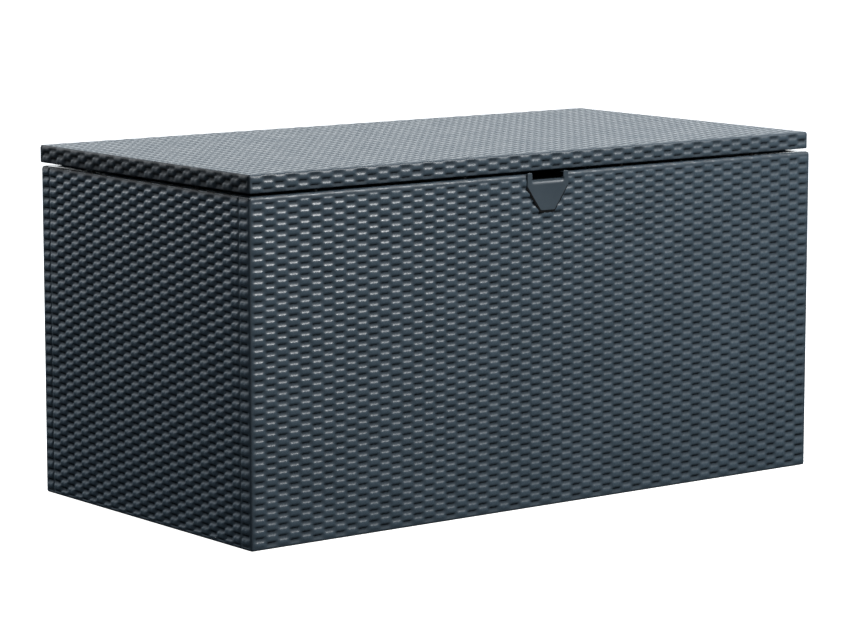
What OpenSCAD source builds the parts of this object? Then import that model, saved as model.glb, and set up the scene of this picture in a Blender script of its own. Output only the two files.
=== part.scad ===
// Deck storage box: coated, embossed sheet-steel panels folded over galvanised rails,
// with a hinged lid that is carried by two gas struts.
// +Z up, the front faces -Y, and the origin is on the ground under the middle of the body.

/* [Body] */
// Outside width of the body
body_w = 1335; // [1200:5:1400]
// Outside depth of the body
body_d = 685; // [640:5:760]
// Height of the body, from the ground to the top fold of its panels
body_h = 624; // [580:2:680]
// Thickness of the embossed panel sheet
sheet_t = 1; // [0.8:0.1:1.2]
// Length of sheet that the front panel folds back onto each side
front_return = 32; // [30:1:40]
// Length of sheet that the rear panel folds forward onto each side
rear_return = 28; // [27:1:40]

/* [Lid] */
// Gap between the body's top fold and the lid's rim
lid_gap = 6; // [5:0.5:8]
// Height of the lid's folded rim
lid_rim = 32; // [30:1:45]
// How far the lid's front stays behind the body's front face
lid_front_setback = 4; // [0:1:6]
// How far each side of the lid stays inside the body's side
lid_side_inset = 2; // [0:0.5:4]

/* [Finger notch] */
// Width of the notch that the fingers reach into
notch_w = 74; // [60:2:100]
// Depth of the notch's floor below the body's top fold
notch_depth = 11; // [8:1:16]
// Width of each ear of the notch's plate
ear_w = 12; // [10:1:20]
// Width of the plate's bottom edge
plate_foot_w = 33; // [20:1:60]
// Depth of the plate's straight shoulders below the top fold
plate_shoulder = 22; // [16:1:30]
// Depth of the plate's bottom edge below the top fold
plate_drop = 68; // [50:1:90]

/* [Motion] */
// How far the lid opens, in degrees
lid_open = 80; // [70:1:80]

/* [Hidden] */
$fn = 48;

// Finishes
coat_colour = "#444E57";
plate_colour = "#404951";
zinc_colour = "#A9ADB0";
black_colour = "#1B1D1F";
chrome_colour = "#D5D8DA";

// Body planes: inner faces of the panels
in_x = body_w / 2 - sheet_t;
in_y = body_d / 2 - sheet_t;

// Folds of the panels
top_flange = 20;
top_lip = 12;
bottom_flange = 15;
seam_flange = 12;

// Rails and posts
rail_t = 1.5;
base_rail_h = 26;
base_rail_w = 24;
floor_z = sheet_t + base_rail_h;
floor_t = 1;
top_rail_w = 17;
top_rail_h = 30;
top_rail_z = body_h - sheet_t - top_rail_h;
post_leg = 24;
bearer_w = 40;
bearer_x = body_w * 0.3;
corner_cut = max(front_return, rear_return) + 4;

// Pressed ribs of the floor
rib_w = 12;
rib_h = 2;
rib_count = 10;
rib_pitch = 120;
rib_inset = 60;

// Anchor holes in the floor
anchor_r = 4.5;
anchor_x = 450;
anchor_y = 240;

// Enough to cut right through a sheet from both of its sides
through = 1;

// Notch plate and the throat behind it
plate_w = notch_w + 2 * ear_w;
plate_t = 3;
ear_rise = 3;
ear_round = 3;
notch_wall = 2;
throat_depth = top_flange + 2;
notch_room = 6;

// Lid planes; the lid hangs out far enough at the rear to cover the hinge knuckles
knuckle_r = 3.5;
lid_rear_overhang = 2 * knuckle_r + sheet_t;
lid_z0 = body_h + lid_gap;
lid_z1 = lid_z0 + lid_rim;
lid_x = body_w / 2 - lid_side_inset;
lid_y0 = -body_d / 2 + lid_front_setback;
lid_y1 = body_d / 2 + lid_rear_overhang;
lid_hem = 10;
lid_tube_w = 26;
lid_tube_t = 1.2;
lid_tube_z = lid_z0 + sheet_t;
lid_tube_h = lid_rim - 2 * sheet_t;
brace_w = 44;
brace_h = 20;
brace_flange = 14;
brace_x = body_w / 6;

// Hinges: the knuckles lie in the gap, behind the body and under the lid's rear rim
hinge_x = body_w * 0.36;
hinge_w = 80;
leaf_t = 1.5;
leaf_drop = 38;
leaf_rise = 26;
pin_r = 2;
pin_clearance = 0.05;
knuckle_gap = 0.3;
hinge_y = body_d / 2 + knuckle_r;
hinge_z = body_h + lid_gap / 2;
hinge_screw_pitch = 28;

// Rubber buttons between the body's top fold and the lid's hem
bumper_r = 4;
bumper_play = 0.3;

// Screws
shank_r = 2;
head_r = 4.2;
head_h = 2;
screw_len = 8;
hinge_box_screw_z = hinge_z - 24;
hinge_lid_screw_z = lid_z0 + lid_rim * 0.55;
floor_screw_pitch = body_w * 0.218;

// Gas struts: ball centres in a plane beside each side wall
strut_x = in_x - 32.5;
low_y = in_y - 15.5;
low_z = hinge_z - 217;
up_y = hinge_y - 100;
up_z = hinge_z - 19;
strut_closed = norm([up_y - low_y, up_z - low_z]);
strut_tilt = atan2(low_y - up_y, up_z - low_z);
ball_r = 5;
socket_r = 7.5;
socket_half = 6;
socket_neck_r = 5.5;
socket_len = 20;
socket_play = 0.3;
neck_r = 2.5;
tube_r = 7.5;
bore_r = 6.4;
tube_len = 150;
tube_base = 3;
gland_len = 8;
rod_r = 3;
piston_r = 6.35;
piston_len = 8;
piston_from = 54;
bracket_t = 2;
low_tab_x = strut_x + 11;
low_tab_rise = 8;
low_step_z = low_z - 10;
low_foot_drop = 26;
low_head_rise = 24;
low_screw_z = low_z - 6;
low_screw_half = 18;
up_bracket_w = 22;
up_web_x = strut_x - 14;
up_web_drop = 9;
up_screw_x = strut_x + 12;
up_screw_half = 8;

// Where the rod's end is with the lid open: the stroke has to stay inside the tube
open_y = hinge_y - (hinge_y - up_y) * cos(lid_open) + (up_z - hinge_z) * sin(lid_open);
open_z = hinge_z + (hinge_y - up_y) * sin(lid_open) + (up_z - hinge_z) * cos(lid_open);
strut_stroke = norm([open_y - low_y, open_z - low_z]) - strut_closed;
assert(piston_from + piston_len + strut_stroke < socket_len + tube_len - gland_len);

// ---------------------------------------------------------------- helpers

// A box from its lowest to its highest corner
module span(low, high) {
    translate(low) cube(high - low);
}

// A copy on both sides of the middle plane
module both_sides() {
    children();
    mirror([1, 0, 0]) children();
}

// The right-hand form turned into the left-hand one when side is -1
module on_side(side) {
    mirror([side < 0 ? 1 : 0, 0, 0]) children();
}

// A round bar along Y, from y0 to y1
module bar_y(x, z, r, y0, y1) {
    translate([x, y0, z]) rotate([-90, 0, 0]) cylinder(r = r, h = y1 - y0);
}

// A round bar along X, from x0 to x1
module bar_x(y, z, r, x0, x1) {
    translate([x0, y, z]) rotate([0, 90, 0]) cylinder(r = r, h = x1 - x0);
}

// A screw along +Z: the head stands on z = 0 and the shank goes down
module screw_down(grip = screw_len) {
    cylinder(r = head_r, h = head_h);
    translate([0, 0, -grip]) cylinder(r = shank_r, h = grip);
}

// A C channel along X with its web on the outer side, its open side facing +Y
module channel_x(x0, x1, y0, w, z0, h, t) {
    span([x0, y0, z0], [x1, y0 + t, z0 + h]);
    span([x0, y0, z0], [x1, y0 + w, z0 + t]);
    span([x0, y0, z0 + h - t], [x1, y0 + w, z0 + h]);
}

// A C channel along Y with its web at x1, its open side facing -X
module channel_y(y0, y1, x1, w, z0, h, t) {
    span([x1 - t, y0, z0], [x1, y1, z0 + h]);
    span([x1 - w, y0, z0], [x1, y1, z0 + t]);
    span([x1 - w, y0, z0 + h - t], [x1, y1, z0 + h]);
}

// ---------------------------------------------------------------- hole sets

module hinge_box_screw_places() {
    for (x = [-hinge_x, 0, hinge_x], i = [-1:1])
        translate([x + i * hinge_screw_pitch, body_d / 2 + leaf_t, hinge_box_screw_z])
            rotate([-90, 0, 0]) children();
}

module hinge_lid_screw_places() {
    for (x = [-hinge_x, 0, hinge_x], i = [-1:1])
        translate([x + i * hinge_screw_pitch, lid_y1, hinge_lid_screw_z])
            rotate([-90, 0, 0]) children();
}

module floor_screw_places() {
    for (i = [-2:2], y = [-1, 1])
        translate([i * floor_screw_pitch, y * (in_y - base_rail_w / 2), floor_z + floor_t])
            children();
}

module low_bracket_screw_places() {
    both_sides()
        for (z = [-1, 1])
            translate([in_x - rail_t - bracket_t, in_y - post_leg / 2, low_screw_z + z * low_screw_half])
                rotate([0, -90, 0]) children();
}

module up_bracket_screw_places() {
    both_sides()
        for (y = [-1, 1])
            translate([up_screw_x, up_y + y * up_screw_half, lid_tube_z - bracket_t])
                rotate([180, 0, 0]) children();
}

module shank_hole() {
    translate([0, 0, -screw_len]) cylinder(r = shank_r, h = screw_len + head_h);
}

// ---------------------------------------------------------------- panels

// Front or rear panel with its face at -Y: face, top and bottom folds, and the returns
// that wrap onto the sides and end in an inward seam flange
module wrap_panel(ret) {
    y0 = -body_d / 2;
    x1 = body_w / 2;
    span([-x1, y0, 0], [x1, y0 + sheet_t, body_h]);
    span([-x1, y0, body_h - sheet_t], [x1, y0 + top_flange, body_h]);
    span([-x1 + top_flange, y0 + top_flange - sheet_t, body_h - top_lip],
         [x1 - top_flange, y0 + top_flange, body_h]);
    span([-x1, y0, 0], [x1, y0 + bottom_flange, sheet_t]);
    both_sides() {
        span([in_x, y0, 0], [x1, y0 + ret, body_h]);
        span([in_x - seam_flange, y0 + ret - sheet_t, floor_z],
             [x1, y0 + ret, top_rail_z - sheet_t]);
        span([x1 - top_flange, y0, body_h - sheet_t], [x1, y0 + ret, body_h]);
        span([x1 - bottom_flange, y0, 0], [x1, y0 + ret, sheet_t]);
    }
}

// Side panel on the right side, between the two returns
module side_panel() {
    y0 = -body_d / 2 + front_return;
    y1 = body_d / 2 - rear_return;
    x1 = body_w / 2;
    span([in_x, y0, 0], [x1, y1, body_h]);
    span([x1 - top_flange, y0, body_h - sheet_t], [x1, y1, body_h]);
    span([x1 - top_flange, y0, body_h - top_lip], [x1 - top_flange + sheet_t, y1, body_h]);
    span([x1 - bottom_flange, y0, 0], [x1, y1, sheet_t]);
    for (y = [y0, y1 - sheet_t])
        span([in_x - seam_flange, y, floor_z], [x1, y + sheet_t, top_rail_z - sheet_t]);
}

// The slot that the notch plate's throat sits in
module notch_cut() {
    half = notch_w / 2 + notch_wall;
    span([-half, -body_d / 2 - through, body_h - notch_depth - notch_wall],
         [half, -body_d / 2 + throat_depth + notch_room, body_h + through]);
}

module front_panel() {
    color(coat_colour) difference() {
        wrap_panel(front_return);
        notch_cut();
    }
}

module rear_panel() {
    color(coat_colour) difference() {
        mirror([0, 1, 0]) wrap_panel(rear_return);
        hinge_box_screw_places() shank_hole();
    }
}

module left_panel() {
    color(coat_colour) on_side(-1) side_panel();
}

module right_panel() {
    color(coat_colour) on_side(1) side_panel();
}

// ---------------------------------------------------------------- base

module base_rail_long() {
    difference() {
        channel_x(-in_x, in_x, -in_y, base_rail_w, sheet_t, base_rail_h, rail_t);
        floor_screw_places() shank_hole();
    }
}

module base_rail_short() {
    y1 = in_y - base_rail_w;
    channel_y(-y1, y1, in_x, base_rail_w, sheet_t, base_rail_h, rail_t);
}

module base_rail_front() { color(zinc_colour) base_rail_long(); }
module base_rail_rear() { color(zinc_colour) mirror([0, 1, 0]) base_rail_long(); }
module base_rail_left() { color(zinc_colour) on_side(-1) base_rail_short(); }
module base_rail_right() { color(zinc_colour) on_side(1) base_rail_short(); }

// A C channel that carries the floor from front to rear and stands on the ground
module bearer(x) {
    y1 = in_y - base_rail_w;
    translate([x, 0, 0])
        channel_y(-y1, y1, bearer_w / 2, bearer_w, 0, floor_z, rail_t);
}

module floor_bearer_left() { color(zinc_colour) bearer(-bearer_x); }
module floor_bearer_middle() { color(zinc_colour) bearer(0); }
module floor_bearer_right() { color(zinc_colour) bearer(bearer_x); }

module floor_panel() {
    color(zinc_colour) difference() {
        union() {
            span([-in_x, -in_y, floor_z], [in_x, in_y, floor_z + floor_t]);
            for (i = [0:rib_count - 1])
                translate([(i - (rib_count - 1) / 2) * rib_pitch, 0, floor_z + floor_t])
                    span([-rib_w / 2, -in_y + rib_inset, 0], [rib_w / 2, in_y - rib_inset, rib_h]);
        }
        for (x = [-1, 1], y = [-1, 1])
            translate([x * in_x, y * in_y, floor_z])
                cube([2 * corner_cut, 2 * corner_cut, 4 * floor_t], center = true);
        floor_screw_places() shank_hole();
        for (x = [-anchor_x, anchor_x], y = [-anchor_y, anchor_y])
            translate([x, y, floor_z - through]) cylinder(r = anchor_r, h = floor_t + 2 * through);
    }
}

// ---------------------------------------------------------------- posts and top rails

// An angle post in the front right corner; y_side is -1 at the front and 1 at the rear
module post(y_side) {
    z0 = floor_z;
    z1 = top_rail_z - sheet_t;
    mirror([0, y_side > 0 ? 1 : 0, 0]) {
        span([in_x - post_leg, -in_y, z0], [in_x, -in_y + rail_t, z1]);
        span([in_x - rail_t, -in_y, z0], [in_x, -in_y + post_leg, z1]);
    }
}

module rear_post_drilled() {
    difference() {
        post(1);
        low_bracket_screw_places() shank_hole();
    }
}

module corner_post_front_left() { color(zinc_colour) on_side(-1) post(-1); }
module corner_post_front_right() { color(zinc_colour) post(-1); }
module corner_post_rear_left() { color(zinc_colour) on_side(-1) rear_post_drilled(); }
module corner_post_rear_right() { color(zinc_colour) rear_post_drilled(); }

module top_rail_long() {
    channel_x(-in_x, in_x, -in_y, top_rail_w, top_rail_z, top_rail_h, rail_t);
}

module top_rail_short() {
    y1 = in_y - top_rail_w;
    channel_y(-y1, y1, in_x, top_rail_w, top_rail_z, top_rail_h, rail_t);
}

module top_rail_front() {
    color(zinc_colour) difference() {
        top_rail_long();
        notch_cut();
    }
}

module top_rail_rear() {
    color(zinc_colour) difference() {
        mirror([0, 1, 0]) top_rail_long();
        hinge_box_screw_places() shank_hole();
    }
}

module top_rail_left() { color(zinc_colour) on_side(-1) top_rail_short(); }
module top_rail_right() { color(zinc_colour) on_side(1) top_rail_short(); }

// ---------------------------------------------------------------- notch plate and bumpers

// Plate outline, seen from the front: x across and y up, with y = 0 at the top fold
module plate_outline() {
    half = plate_w / 2;
    difference() {
        polygon([
            [-half, ear_rise - ear_round], [-half, -plate_shoulder],
            [-plate_foot_w / 2, -plate_drop], [plate_foot_w / 2, -plate_drop],
            [half, -plate_shoulder], [half, ear_rise - ear_round]
        ]);
        translate([-notch_w / 2, -notch_depth]) square([notch_w, notch_depth + ear_rise]);
    }
    for (side = [-1, 1])
        ear_top(side);
}

// The rounded top of one ear
module ear_top(side) {
    outer = plate_w / 2 - ear_round;
    inner = notch_w / 2 + ear_round;
    for (x = [inner, outer])
        translate([side * x, ear_rise - ear_round]) circle(r = ear_round);
    translate([side * (inner + outer) / 2, ear_rise - ear_round])
        square([outer - inner, 2 * ear_round], center = true);
}

module finger_notch_plate() {
    half = notch_w / 2;
    y0 = -body_d / 2;
    floor_top = body_h - notch_depth;
    color(plate_colour) {
        translate([0, y0, body_h]) rotate([90, 0, 0]) linear_extrude(plate_t) plate_outline();
        span([-half - notch_wall, y0, floor_top - notch_wall],
             [half + notch_wall, y0 + throat_depth, floor_top]);
        both_sides()
            span([half, y0, floor_top - notch_wall], [half + notch_wall, y0 + throat_depth, body_h]);
    }
}

// Rubber buttons on the top fold that the closed lid's hem rests on
module lid_bumpers() {
    h = lid_gap - bumper_play;
    color(black_colour) {
        for (x = [-0.39, -0.14, 0.14, 0.39])
            translate([x * body_w, lid_y0 + sheet_t + lid_hem / 2, body_h])
                cylinder(r = bumper_r, h = h);
        both_sides()
            for (y = [-0.25, 0.25])
                translate([lid_x - sheet_t - lid_hem / 2, y * body_d, body_h])
                    cylinder(r = bumper_r, h = h);
    }
}

module box_screws() {
    color(chrome_colour) {
        hinge_box_screw_places() screw_down();
        floor_screw_places() screw_down();
        low_bracket_screw_places() screw_down(bracket_t + rail_t);
    }
}

// ---------------------------------------------------------------- hinges

// Knuckle slots count from 0 to 4 across the hinge: the even ones are on the box leaf
module knuckles(first) {
    pitch = hinge_w / 5;
    for (i = [first:2:4]) {
        x0 = -hinge_w / 2 + i * pitch + knuckle_gap / 2;
        bar_x(hinge_y, hinge_z, knuckle_r, x0, x0 + pitch - knuckle_gap);
    }
}

// Room cut out of a leaf for the other leaf's knuckles
module knuckle_room(first) {
    pitch = hinge_w / 5;
    room = knuckle_r + 0.5;
    for (i = [first:2:4]) {
        x0 = -hinge_w / 2 + i * pitch - knuckle_gap / 2;
        span([x0, hinge_y - room - leaf_t, hinge_z - room],
             [x0 + pitch + knuckle_gap, hinge_y + room + leaf_t, hinge_z + room]);
    }
}

module box_leaf(x) {
    color(coat_colour) difference() {
        translate([x, 0, 0]) difference() {
            union() {
                difference() {
                    span([-hinge_w / 2, body_d / 2, hinge_z - leaf_drop],
                         [hinge_w / 2, body_d / 2 + leaf_t, hinge_z]);
                    knuckle_room(1);
                }
                knuckles(0);
            }
            bar_x(hinge_y, hinge_z, pin_r, -hinge_w, hinge_w);
        }
        hinge_box_screw_places() shank_hole();
    }
}

module lid_leaf(x) {
    color(coat_colour) difference() {
        translate([x, 0, 0]) difference() {
            union() {
                difference() {
                    span([-hinge_w / 2, lid_y1 - sheet_t - leaf_t, hinge_z],
                         [hinge_w / 2, lid_y1 - sheet_t, hinge_z + leaf_rise]);
                    knuckle_room(0);
                }
                knuckles(1);
            }
            bar_x(hinge_y, hinge_z, pin_r + pin_clearance, -hinge_w, hinge_w);
        }
        hinge_lid_screw_places() shank_hole();
    }
}

module hinge_pin(x) {
    color(chrome_colour)
        translate([x, 0, 0]) bar_x(hinge_y, hinge_z, pin_r, -hinge_w / 2 - 1, hinge_w / 2 + 1);
}

module hinge_left_box_leaf() { box_leaf(-hinge_x); }
module hinge_middle_box_leaf() { box_leaf(0); }
module hinge_right_box_leaf() { box_leaf(hinge_x); }
module hinge_left_lid_leaf() { lid_leaf(-hinge_x); }
module hinge_middle_lid_leaf() { lid_leaf(0); }
module hinge_right_lid_leaf() { lid_leaf(hinge_x); }
module hinge_left_pin() { hinge_pin(-hinge_x); }
module hinge_middle_pin() { hinge_pin(0); }
module hinge_right_pin() { hinge_pin(hinge_x); }

// ---------------------------------------------------------------- lid

// Top sheet, four rims, and an inward hem under the front and side rims
module lid_skin() {
    hem_y1 = lid_y1 - sheet_t - lid_tube_w;
    color(coat_colour) difference() {
        union() {
            span([-lid_x, lid_y0, lid_z1 - sheet_t], [lid_x, lid_y1, lid_z1]);
            span([-lid_x, lid_y0, lid_z0], [lid_x, lid_y0 + sheet_t, lid_z1]);
            span([-lid_x, lid_y1 - sheet_t, lid_z0], [lid_x, lid_y1, lid_z1]);
            span([-lid_x, lid_y0, lid_z0], [lid_x, lid_y0 + sheet_t + lid_hem, lid_z0 + sheet_t]);
            both_sides() {
                span([lid_x - sheet_t, lid_y0, lid_z0], [lid_x, lid_y1, lid_z1]);
                span([lid_x - sheet_t - lid_hem, lid_y0, lid_z0], [lid_x, hem_y1, lid_z0 + sheet_t]);
            }
        }
        hinge_lid_screw_places() shank_hole();
    }
}

// A square tube from its lowest to its highest corner, open at both ends along one axis
module lid_tube(low, high, along_x) {
    t = lid_tube_t;
    gap = along_x ? [-1, t, t] : [t, -1, t];
    difference() {
        span(low, high);
        span(low + gap, high - gap);
    }
}

module lid_rail_front() {
    x1 = lid_x - sheet_t;
    y0 = lid_y0 + sheet_t;
    color(zinc_colour)
        lid_tube([-x1, y0, lid_tube_z], [x1, y0 + lid_tube_w, lid_tube_z + lid_tube_h], true);
}

module lid_rail_rear() {
    x1 = lid_x - sheet_t;
    y1 = lid_y1 - sheet_t - leaf_t;
    color(zinc_colour) difference() {
        lid_tube([-x1, y1 - lid_tube_w, lid_tube_z], [x1, y1, lid_tube_z + lid_tube_h], true);
        hinge_lid_screw_places() shank_hole();
    }
}

module lid_rail_short() {
    x1 = lid_x - sheet_t;
    y0 = lid_y0 + sheet_t + lid_tube_w;
    y1 = lid_y1 - sheet_t - leaf_t - lid_tube_w;
    difference() {
        lid_tube([x1 - lid_tube_w, y0, lid_tube_z], [x1, y1, lid_tube_z + lid_tube_h], false);
        up_bracket_screw_places() shank_hole();
    }
}

module lid_rail_left() { color(zinc_colour) on_side(-1) lid_rail_short(); }
module lid_rail_right() { color(zinc_colour) on_side(1) lid_rail_short(); }

// A hat section under the top sheet, between the front and rear rails
module lid_brace(x) {
    y0 = lid_y0 + sheet_t + lid_tube_w;
    y1 = lid_y1 - sheet_t - leaf_t - lid_tube_w;
    top = lid_z1 - sheet_t;
    foot = brace_w / 2;
    wall = foot - brace_flange;
    color(zinc_colour) translate([x, 0, 0]) {
        span([-wall, y0, top - brace_h], [wall, y1, top - brace_h + rail_t]);
        both_sides() {
            span([wall - rail_t, y0, top - brace_h], [wall, y1, top]);
            span([wall - rail_t, y0, top - rail_t], [foot, y1, top]);
        }
    }
}

module lid_brace_left() { lid_brace(-brace_x); }
module lid_brace_right() { lid_brace(brace_x); }

module lid_screws() {
    color(chrome_colour) {
        hinge_lid_screw_places() screw_down();
        up_bracket_screw_places() screw_down();
    }
}

// ---------------------------------------------------------------- gas struts

// Places a strut that is drawn along +Z from its lower ball onto one side of the box
module along_strut(side) {
    on_side(side) translate([strut_x, low_y, low_z]) rotate([strut_tilt, 0, 0]) children();
}

// A Z-shaped bracket on the rear post, with a tab that the lower ball stud is screwed to
module lower_bracket(side) {
    y0 = in_y - post_leg + 1;
    y1 = in_y - rail_t - 0.5;
    base_x = in_x - rail_t - bracket_t;
    color(zinc_colour) on_side(side) difference() {
        union() {
            span([base_x, y0, low_step_z - low_foot_drop],
                 [base_x + bracket_t, y1, low_z + low_head_rise]);
            span([low_tab_x, y0, low_step_z - bracket_t], [base_x + bracket_t, y1, low_step_z]);
            span([low_tab_x, y0, low_step_z - bracket_t],
                 [low_tab_x + bracket_t, y1, low_z + low_tab_rise]);
        }
        low_bracket_screw_places() shank_hole();
    }
}

module lower_ball(side) {
    color(chrome_colour) on_side(side) translate([strut_x, low_y, low_z]) {
        sphere(r = ball_r);
        bar_x(0, 0, neck_r, 0, low_tab_x - strut_x);
    }
}

// Plastic end fitting: a barrel across the strut, open on one side for the ball's neck
module socket(open_side) {
    deep = socket_half - 1;
    difference() {
        union() {
            bar_x(0, 0, socket_r, -socket_half, socket_half);
            cylinder(r = socket_neck_r, h = socket_len);
        }
        bar_x(0, 0, ball_r + socket_play,
              open_side > 0 ? -deep : -socket_half - 1, open_side > 0 ? socket_half + 1 : deep);
    }
}

module lower_socket(side) {
    color(black_colour) along_strut(side) socket(1);
}

module strut_tube(side) {
    color(black_colour) along_strut(side) translate([0, 0, socket_len]) difference() {
        cylinder(r = tube_r, h = tube_len);
        translate([0, 0, tube_base]) cylinder(r = bore_r, h = tube_len);
    }
}

module strut_gland(side) {
    color(black_colour) along_strut(side)
        translate([0, 0, socket_len + tube_len - gland_len]) difference() {
            cylinder(r = bore_r, h = gland_len);
            translate([0, 0, -1]) cylinder(r = rod_r + pin_clearance, h = gland_len + 2);
        }
}

module strut_rod(side) {
    color(chrome_colour) along_strut(side) {
        translate([0, 0, piston_from])
            cylinder(r = rod_r, h = strut_closed - socket_len - piston_from);
        translate([0, 0, piston_from]) cylinder(r = piston_r, h = piston_len);
    }
}

module upper_socket(side) {
    color(black_colour) along_strut(side)
        translate([0, 0, strut_closed]) rotate([180, 0, 0]) socket(-1);
}

module upper_ball(side) {
    color(chrome_colour) on_side(side) translate([strut_x, up_y, up_z]) {
        sphere(r = ball_r);
        bar_x(0, 0, neck_r, up_web_x - strut_x + bracket_t + socket_play, 0);
    }
}

// An angle bracket under the lid's side rail, with a web beside the upper ball stud
module upper_bracket(side) {
    half = up_bracket_w / 2;
    x1 = lid_x - sheet_t - lid_hem - 1;
    z1 = lid_tube_z;
    color(zinc_colour) on_side(side) difference() {
        union() {
            span([up_web_x, up_y - half, z1 - bracket_t], [x1, up_y + half, z1]);
            span([up_web_x, up_y - half, up_z - up_web_drop], [up_web_x + bracket_t, up_y + half, z1]);
        }
        up_bracket_screw_places() shank_hole();
    }
}

module strut_left_lower_bracket() { lower_bracket(-1); }
module strut_left_lower_ball() { lower_ball(-1); }
module strut_left_lower_socket() { lower_socket(-1); }
module strut_left_tube() { strut_tube(-1); }
module strut_left_gland() { strut_gland(-1); }
module strut_left_rod() { strut_rod(-1); }
module strut_left_upper_socket() { upper_socket(-1); }
module strut_left_upper_ball() { upper_ball(-1); }
module strut_left_upper_bracket() { upper_bracket(-1); }
module strut_right_lower_bracket() { lower_bracket(1); }
module strut_right_lower_ball() { lower_ball(1); }
module strut_right_lower_socket() { lower_socket(1); }
module strut_right_tube() { strut_tube(1); }
module strut_right_gland() { strut_gland(1); }
module strut_right_rod() { strut_rod(1); }
module strut_right_upper_socket() { upper_socket(1); }
module strut_right_upper_ball() { upper_ball(1); }
module strut_right_upper_bracket() { upper_bracket(1); }

// ---------------------------------------------------------------- the assembly

front_panel();
rear_panel();
left_panel();
right_panel();
floor_panel();
base_rail_front();
base_rail_rear();
base_rail_left();
base_rail_right();
floor_bearer_left();
floor_bearer_middle();
floor_bearer_right();
corner_post_front_left();
corner_post_front_right();
corner_post_rear_left();
corner_post_rear_right();
top_rail_front();
top_rail_rear();
top_rail_left();
top_rail_right();
finger_notch_plate();
lid_bumpers();
box_screws();
hinge_left_box_leaf();
hinge_left_pin();
hinge_left_lid_leaf();
hinge_middle_box_leaf();
hinge_middle_pin();
hinge_middle_lid_leaf();
hinge_right_box_leaf();
hinge_right_pin();
hinge_right_lid_leaf();
lid_skin();
lid_rail_front();
lid_rail_rear();
lid_rail_left();
lid_rail_right();
lid_brace_left();
lid_brace_right();
lid_screws();
strut_left_lower_bracket();
strut_left_lower_ball();
strut_left_lower_socket();
strut_left_tube();
strut_left_gland();
strut_left_rod();
strut_left_upper_socket();
strut_left_upper_ball();
strut_left_upper_bracket();
strut_right_lower_bracket();
strut_right_lower_ball();
strut_right_lower_socket();
strut_right_tube();
strut_right_gland();
strut_right_rod();
strut_right_upper_socket();
strut_right_upper_ball();
strut_right_upper_bracket();
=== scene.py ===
# %% [markdown]
# # A deck storage box, step by step
# The real object is a steel box for garden cushions. Its sheets are pressed with a wicker pattern and coated
# in slate grey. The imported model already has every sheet, rail, hinge and gas strut at its true size.
# Here the pressed sheets and the notch plate get their real relief, and every finish gets a material.

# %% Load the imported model
import math

import bpy
import numpy as np
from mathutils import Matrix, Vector


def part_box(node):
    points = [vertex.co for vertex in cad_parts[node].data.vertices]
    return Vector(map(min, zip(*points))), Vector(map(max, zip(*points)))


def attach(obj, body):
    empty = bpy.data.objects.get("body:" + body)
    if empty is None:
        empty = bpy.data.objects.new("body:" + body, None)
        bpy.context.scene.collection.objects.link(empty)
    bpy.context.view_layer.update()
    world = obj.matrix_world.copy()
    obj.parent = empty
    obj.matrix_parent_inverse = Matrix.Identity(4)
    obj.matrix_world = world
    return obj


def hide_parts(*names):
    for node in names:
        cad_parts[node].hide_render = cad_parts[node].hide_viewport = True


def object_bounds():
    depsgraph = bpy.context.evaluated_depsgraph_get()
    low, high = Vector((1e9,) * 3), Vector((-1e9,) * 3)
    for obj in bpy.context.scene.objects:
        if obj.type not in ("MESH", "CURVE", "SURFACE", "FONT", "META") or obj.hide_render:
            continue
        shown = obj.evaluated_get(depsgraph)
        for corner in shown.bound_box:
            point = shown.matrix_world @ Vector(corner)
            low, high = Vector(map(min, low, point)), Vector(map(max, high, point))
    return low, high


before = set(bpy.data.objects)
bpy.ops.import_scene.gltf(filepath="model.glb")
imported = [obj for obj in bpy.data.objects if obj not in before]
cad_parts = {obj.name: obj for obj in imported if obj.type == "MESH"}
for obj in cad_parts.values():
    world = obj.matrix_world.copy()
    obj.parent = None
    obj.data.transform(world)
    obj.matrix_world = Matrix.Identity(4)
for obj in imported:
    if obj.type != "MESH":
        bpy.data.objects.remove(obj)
cad_low, cad_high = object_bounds()
cad_size = cad_high - cad_low
print("packed model:", len(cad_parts), "nodes, size in mm:", [round(1000 * s) for s in cad_size])

# %% [markdown]
# ## Helpers
# Colours are picked as sRGB hex values, because that is how a paint chip reads on a screen, but the renderer
# works in linear light. One function turns one into the other. Another adds a node with its settings and links.

# %% Colour and node helpers
MM = 0.001


def linear(hex_colour):
    """sRGB hex to linear: below 0.04045 a straight line, above it ((c + 0.055) / 1.055) to the power 2.4."""
    srgb = np.array([int(hex_colour[i:i + 2], 16) for i in (1, 3, 5)]) / 255
    low = srgb / 12.92
    high = ((srgb + 0.055) / 1.055) ** 2.4
    return (*np.where(srgb <= 0.04045, low, high).tolist(), 1.0)


def add(tree, kind, settings=None, **links):
    """Adds a node. Settings are its own properties. Links name inputs: a socket is linked, a value is set."""
    node = tree.nodes.new(kind)
    for name, value in (settings or {}).items():
        setattr(node, name, value)
    for name, value in links.items():
        key = int(name[1:]) if name[0] == "i" and name[1:].isdigit() else name.replace("_", " ")
        if isinstance(value, bpy.types.NodeSocket):
            tree.links.new(value, node.inputs[key])
        else:
            node.inputs[key].default_value = value
    return node


def new_material(name, **shader_inputs):
    """A material with only a Principled shader and its output. Returns it with its tree and its shader."""
    material = bpy.data.materials.new(name)
    material.use_nodes = True
    tree = material.node_tree
    tree.nodes.clear()
    shader = add(tree, "ShaderNodeBsdfPrincipled", **shader_inputs)
    add(tree, "ShaderNodeOutputMaterial", Surface=shader.outputs["BSDF"])
    return material, tree, shader


def wire(tree, shader, colour, roughness, normal):
    """Links what a finish works out to its shader: colour, roughness and normal."""
    tree.links.new(colour, shader.inputs["Base Color"])
    tree.links.new(roughness, shader.inputs["Roughness"])
    tree.links.new(normal, shader.inputs["Normal"])


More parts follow.
